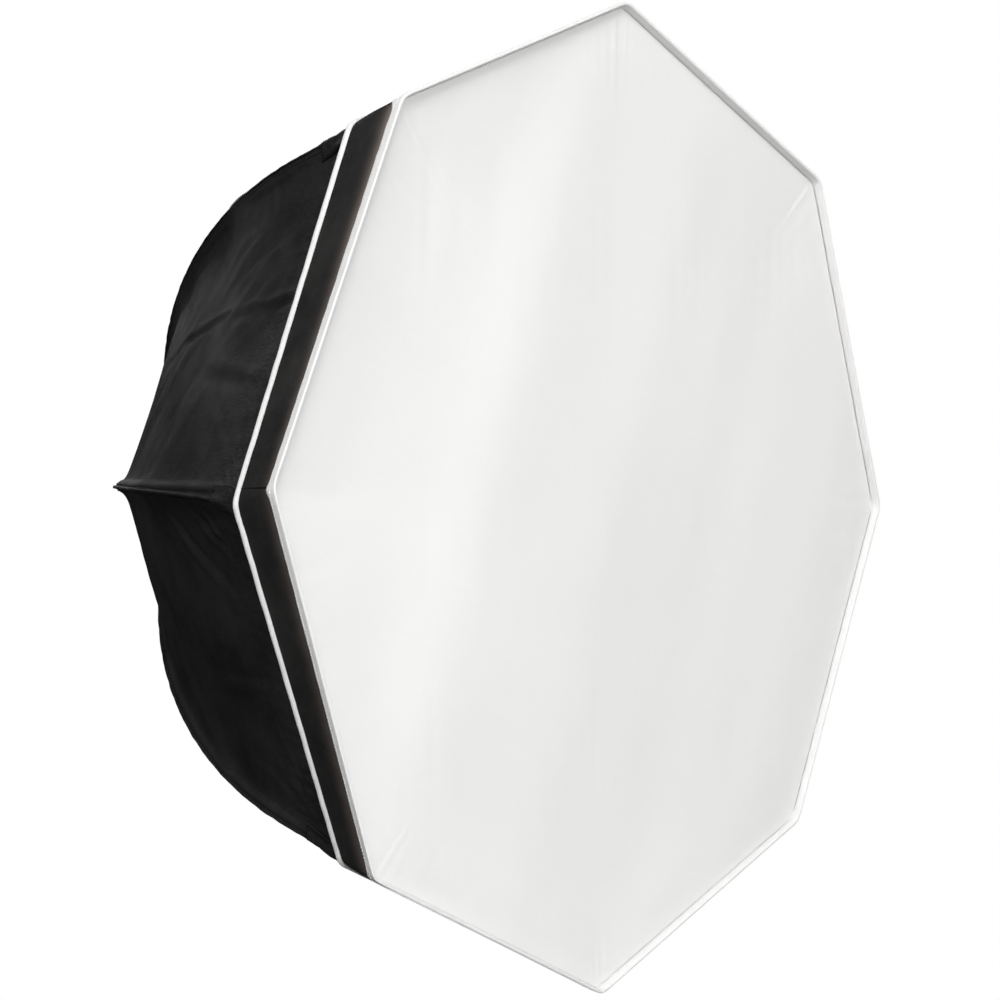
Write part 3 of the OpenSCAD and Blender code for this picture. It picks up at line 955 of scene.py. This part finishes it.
def build_binding():
    """Tape folded over the front edge, with its row of stitches."""
    width = 0.0068
    thickness = 0.0008
    outer = lambda d: lip_r(d) + 0.0007
    inner = lambda d: lip_r(d) - 0.0018
    leg = np.linspace(width, 0.001, 7)
    fold = np.linspace(0, math.pi, 9)
    middle = (outer(0) + inner(0)) / 2
    reach = (outer(0) - inner(0)) / 2

    def face(off, squash):
        """One face of the folded tape, off its middle line."""
        round_r = reach + off
        return np.concatenate([
            np.stack([outer(leg) + off, leg], -1),
            np.stack([middle + round_r * np.cos(fold), -round_r * squash * np.sin(fold)], -1),
            np.stack([inner(leg) - off, leg], -1)[::-1],
        ])

    profile = np.concatenate([face(thickness / 2, 0.55), face(-thickness / 2, 0.4)[::-1]])

    def ripple(theta, r, depth):
        side = np.where(r > middle, 1.0, -1.0)
        edge = np.clip(depth / width, 0, 1)
        bunch = bell(from_corner(theta), 0, 0.012)
        out = side * edge * 0.00018 * (1 + round_waves(theta, 660, 10, 60, 300))
        back = 0.0003 * edge * round_waves(theta, 680, 9, 30, 150)
        return out + bunch * 0.0003 * side * edge, back + bunch * 0.0024 * edge

    tape = sweep("edge_binding", profile, [TAPE], ripple)
    attach(tape, "softbox", "front_binding")
    at = width * 0.72
    theta = ring_angles(40)
    theta = np.append(theta, theta[0] + TAU)
    rows = []
    for lift in (0.0017, -0.0030):
        a, b = dashes(rim_place(theta, octagon(theta) * (lip_r(at) + lift), at), 0.0034)
        rows.append((a, b, a * (1, 0, 1) * math.copysign(1, lift)))
    sew("binding_stitches", rows, WHITE_THREAD)


def band_on_lip(name, near, far, material):
    """A tape sewn flat against the inside of the lip."""
    depth = np.linspace(0.012, BAND_END, 9)
    outside = np.stack([lip_r(depth) - near, depth], -1)
    inside = np.stack([lip_r(depth) - far, depth], -1)[::-1]
    return sweep(name, np.concatenate([outside, inside]), [material], rim_ripple(0.0001, 700))


def build_tapes():
    hook = band_on_lip("lip_hook_band", 0.0015, 0.0024, HOOKS)
    attach(hook, "softbox", "lip_hook_tape")
    loop = band_on_lip("diffuser_loop_band", 0.0027, 0.0036, LOOPS)
    attach(loop, "diffuser", "diffuser_loop_tape")


# ---------------- diffusers
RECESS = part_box("front_diffuser")[0].y - FRONT_Y
SHEET_R = float(lip_r(RECESS) + lip_belly(RECESS)) - 0.0024


def sheet_relief(x, z, edge):
    """Slack of the front sheet: long soft folds and fine streaks that fade out at its edge."""
    across = x * 0.86 + z * -0.30
    soft = 0.0027 * np.sin(TAU * (across - 0.02) / 0.52) + 0.0010 * waves(across, 800, 5, 0.10, 0.30)
    streak = 0.00014 * waves(x + 0.05 * z, 820, 9, 0.018, 0.06) * (0.6 + 0.4 * waves(z, 830, 3, 0.2, 0.5))
    return (soft + streak) * rise(edge, 0.045, 1.4)


def sheet_gathers(theta, edge):
    """Small gathers along the sheet's edge, and rays that pull from its corners."""
    fine = round_waves(theta, 840, 10, 90, 320) * (0.5 + 0.5 * round_waves(theta, 850, 5, 5, 24))
    pull = bell(from_corner(theta), 0, 0.05) * np.exp(-edge / 0.09)
    rays = np.sin(theta * 160) * rise(edge, 0.01)
    return 0.0005 * hump(edge / 0.020) * fine + 0.00012 * pull * rays


def build_front_sheet():
    theta = ring_angles()[:, None]
    unit = octagon(theta)
    reach = 1 - np.linspace(1, 0, 92)[None] ** 1.25 * 0.99
    r = unit * (SHEET_R + 0.0008) * reach
    x, z = r * np.cos(theta), r * np.sin(theta)
    edge = SHEET_R * math.cos(HALF) * (1 - reach)
    leftward = 0.625 - 0.375 * x / SHEET_R
    swell = 0.0065 * leftward * rise(edge, 0.075, 2)
    relief = sheet_relief(x, z, edge) + sheet_gathers(theta, edge)
    face = rim_place(theta, r, RECESS + relief + swell, reach)
    turn = np.linspace(0, math.pi / 2, 5)[None, 1:]
    corner_r = SHEET_R + 0.0008 + 0.0006 * np.sin(turn)
    corner = rim_place(theta, unit * corner_r, RECESS + 0.0006 * (1 - np.cos(turn)))
    depth = np.linspace(0.0112, BAND_END, 10)[None]
    skirt = rim_place(theta, unit * (lip_r(depth) - 0.0040), depth)
    points = np.concatenate([face, corner, skirt], 1)
    sheet = grid("front_diffusion_sheet", points, [FRONT_WHITE], wrap_u=True, centre=True)
    attach(sheet, "diffuser", "front_diffuser", 0.0004, -1)


BAFFLE_LOW, BAFFLE_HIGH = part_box("baffle_binding")
BAFFLE_R = BAFFLE_HIGH.x
BAFFLE_DEPTH = (BAFFLE_LOW.y + BAFFLE_HIGH.y) / 2 - FRONT_Y


def baffle_edge(theta):
    """The baffle's sides pull in between its straps."""
    return octagon(theta, bow=0.018, soft=300)


def build_baffle():
    theta = ring_angles(48)[:, None]
    unit = baffle_edge(theta)
    reach = 1 - np.linspace(1, 0, 60)[None] ** 1.2 * 0.985
    r = unit * (BAFFLE_R - 0.003) * reach
    x, z = r * np.cos(theta), r * np.sin(theta)
    edge = BAFFLE_R * (1 - reach)
    slack = 0.0028 * waves(x * 0.9 + z * 0.3, 900, 5, 0.12, 0.4) * rise(edge, 0.05)
    gathers = 0.0012 * hump(edge / 0.03) * round_waves(theta, 910, 9, 24, 120)
    points = place(theta, r, BAFFLE_DEPTH + slack + gathers)
    sheet = grid("baffle_sheet", points, [INNER_WHITE], wrap_u=True, centre=True)
    attach(sheet, "baffle", "inner_baffle", 0.0004)

    turn = np.linspace(0, TAU, 20, endpoint=False)[None]
    out = 0.0070 * np.sign(np.cos(turn)) * np.abs(np.cos(turn)) ** 0.5
    back = 0.0009 * np.sign(np.sin(turn)) * np.abs(np.sin(turn)) ** 0.7
    depth = BAFFLE_DEPTH + back + 0.0005 * round_waves(theta, 930, 8, 20, 90)
    points = place(theta, unit * (BAFFLE_R - 0.007 + out), depth)
    binding = grid("baffle_edge_tape", points, [TAPE], wrap_u=True, wrap_v=True, flip=True)
    attach(binding, "baffle", "baffle_binding")


STRAP_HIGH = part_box("baffle_straps")[1]


def build_straps():
    """Elastic straps, each gathered a little where it reaches its hook."""
    t = np.linspace(0, 1, 40)
    overlap = 0.016
    r = BAFFLE_R - overlap + (STRAP_HIGH.x - 0.001 - BAFFLE_R + overlap) * t
    neck = 1 - 0.25 * bell(t, 1.0, 0.15)
    width = 0.006 * np.linspace(-1, 1, 9) * neck[:, None]
    for k in range(SIDES):
        sag = 0.0012 * np.sin(math.pi * t) + 0.0003 * waves(r, 950 + k, 4, 0.004, 0.010)
        spine = place(k * STEP, r, BAFFLE_DEPTH + sag - 0.0016 * bell(t, 0.15, 0.25))
        points = spine[:, None] + sideways(k * STEP) * width[..., None]
        strap = grid(f"elastic_strap_{k + 1}", points, [TAPE])
        attach(strap, "baffle", None if k else "baffle_straps", 0.0011)


# ---------------- rear collar
COLLAR_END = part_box("rear_collar")[1].y - FRONT_Y
STRAP_LOW_Y, STRAP_HIGH_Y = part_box("collar_strap")[0].y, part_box("collar_strap")[1].y
STRAP_MIDDLE = (STRAP_LOW_Y + STRAP_HIGH_Y) / 2 - FRONT_Y


def build_collar():
    """Gathered sleeve from the shell's rear edge to the ring, and the strap that closes it."""
    theta = ring_angles(64)[:, None]
    start_r, start_d = rib(REAR_S - 0.002)
    grip_r = RING_R + 0.0032
    t = np.linspace(0, 1, 40)[None]
    depth = start_d - 0.0004 + (COLLAR_END - start_d) * t ** 0.92
    round_share = 1 - (1 - t) ** 2
    shape = octagon(theta, 0.004, 200) * (1 - round_share) + round_share
    gathers = 0.0016 * np.sin(math.pi * t) ** 0.7 * round_waves(theta, 1000, 12, 40, 110)
    r = shape * (start_r + (grip_r - start_r) * (1 - (1 - t) ** 2.2))
    r = r + np.maximum(gathers, -0.0008) - 0.0012 * bell(depth, STRAP_MIDDLE, 0.005)
    sleeve = grid("collar_sleeve", place(theta, r, depth), [SHELL, SILVER], wrap_u=True, flip=True)
    attach(sleeve, "softbox", "rear_collar", 0.0008, 0, True)

    angle = np.linspace(math.radians(60), math.radians(448), 260)[:, None]
    layer = np.clip((np.degrees(angle) - 415) / 8, 0, 1) * 0.0022
    radius = grip_r + 0.0026 + layer + 0.0003 * np.sin(angle * 23)
    width = np.linspace(-1, 1, 9)[None] * (STRAP_HIGH_Y - STRAP_LOW_Y) / 2
    strap = grid("collar_closing_strap", place(angle, radius, STRAP_MIDDLE + width), [WEBBING], flip=True)
    attach(strap, "softbox", "collar_strap", 0.0014)


# ---------------- carried-over hard parts
def dress(node, material, bevel=0.0, segments=2):
    """Gives a carried-over solid its material, and softens its edges where asked."""
    piece = NODES[node]
    piece.data.materials.clear()
    piece.data.materials.append(material)
    if bevel:
        rounding = piece.modifiers.new("edges", "BEVEL")
        rounding.width = bevel
        rounding.segments = segments
        rounding.limit_method = "ANGLE"
        rounding.angle_limit = math.radians(35)


def dress_hard_parts():
    dress("bayonet_insert", CASTING, 0.0005)
    dress("glide_ring", NYLON)
    dress("retaining_ring", CASTING, 0.0003)
    dress("retaining_screws", ZINC, 0.00015)
    dress("speed_ring", POWDER, 0.0006)
    dress("rod_sockets", ZINC, 0.0003)
    dress("socket_screws", SPRING)
    for k in range(SIDES):
        dress(f"rod_{k + 1}", SPRING)
    dress("rod_tips", NYLON, 0.0004)
    dress("baffle_hooks", BLACK_PLASTIC, 0.0008, segments=3)
    dress("lock_pad", BRASS, 0.0002)
    dress("lock_screw", ZINC, 0.0003)
    dress("lock_knob", BLACK_PLASTIC, 0.0009, segments=3)


# ---------------- room, light and camera
def build_stage():
    floor_z = -1.15
    floor = make(
        "floor",
        [(-12, -12, floor_z), (12, -12, floor_z), (12, 12, floor_z), (-12, 12, floor_z)],
        [(0, 1, 2, 3)], [], smooth=False,
    )
    t = Tree("pale_floor")
    t.set(Base_Color=(0.14, 0.14, 0.14), Roughness=0.9)
    t.mix_in(t.node("Emission", Strength=1.0), t.node("LightPath").outputs["Is Camera Ray"])
    floor.data.materials.append(t.material)


def build_world():
    world = bpy.data.worlds.new("studio")
    bpy.context.scene.world = world
    world.use_nodes = True
    nodes, links = world.node_tree.nodes, world.node_tree.links
    seen = nodes["Background"]
    seen.inputs["Color"].default_value = (1, 1, 1, 1)
    seen.inputs["Strength"].default_value = 1.0
    soft = nodes.new("ShaderNodeBackground")
    soft.inputs["Color"].default_value = (1.0, 0.995, 0.985, 1)
    where = nodes.new("ShaderNodeTexCoord")
    height = nodes.new("ShaderNodeSeparateXYZ")
    links.new(where.outputs["Generated"], height.inputs[0])
    shade = nodes.new("ShaderNodeMapRange")
    shade.inputs[1].default_value = -1.0
    shade.inputs[2].default_value = 1.0
    shade.inputs[3].default_value = 0.06
    shade.inputs[4].default_value = 0.44
    links.new(height.outputs[2], shade.inputs[0])
    links.new(shade.outputs[0], soft.inputs["Strength"])
    path = nodes.new("ShaderNodeLightPath")
    mix = nodes.new("ShaderNodeMixShader")
    links.new(path.outputs["Is Camera Ray"], mix.inputs[0])
    links.new(soft.outputs[0], mix.inputs[1])
    links.new(seen.outputs[0], mix.inputs[2])
    links.new(mix.outputs[0], nodes["World Output"].inputs["Surface"])


def area_light(name, position, target, size, power):
    data = bpy.data.lights.new(name, "AREA")
    data.shape = "DISK"
    data.size = size
    data.energy = power
    lamp = add_object(name, data)
    lamp.location = position
    aim = Vector(target) - Vector(position)
    lamp.rotation_euler = aim.to_track_quat("-Z", "Y").to_euler()
    lamp.visible_camera = False


def build_lights():
    centre = (0, FRONT_Y / 2, 0)
    area_light("key", (-3.2, -2.5, 2.7), centre, 3.0, 215)
    area_light("fill", (-1.3, -4.3, 0.2), (0, FRONT_Y, 0), 2.2, 113)
    area_light("back", (2.2, 3.0, 1.5), (0, 0.1, 0), 2.2, 110)


def build_camera():
    """Looks at the front's centre from its left, level with it."""
    azimuth, elevation = math.radians(-53.26), math.radians(0.098)
    pan, tilt, roll = math.radians(2.5145), math.radians(0.0932), math.radians(1.4054)
    distance = 5.449 * FRONT_R
    back = lambda a, e: Vector((math.sin(a) * math.cos(e), -math.cos(a) * math.cos(e), math.sin(e)))
    data = bpy.data.cameras.new("camera")
    data.sensor_width = 36
    data.lens = 97.41
    data.clip_end = 60
    camera = add_object("camera", data)
    camera.location = Vector((0, FRONT_Y, 0)) + back(azimuth, elevation) * distance
    facing = back(azimuth + pan, elevation + tilt)
    right = Vector((math.cos(azimuth + pan), math.sin(azimuth + pan), 0))
    up = facing.cross(right)
    turned_right = right * math.cos(roll) + up * math.sin(roll)
    turned_up = up * math.cos(roll) - right * math.sin(roll)
    axes = Matrix((turned_right, turned_up, facing)).transposed()
    camera.rotation_euler = axes.to_euler()
    bpy.context.scene.camera = camera
    bpy.context.scene.view_settings.view_transform = "Standard"


build_shell()
build_seams()
build_inner_tapes()
build_patches()
build_pockets()
build_lip()
build_lip_joints()
build_piping()
build_binding()
build_tapes()
build_front_sheet()
build_baffle()
build_straps()
build_collar()
dress_hard_parts()
build_stage()
build_world()
build_lights()
build_camera()
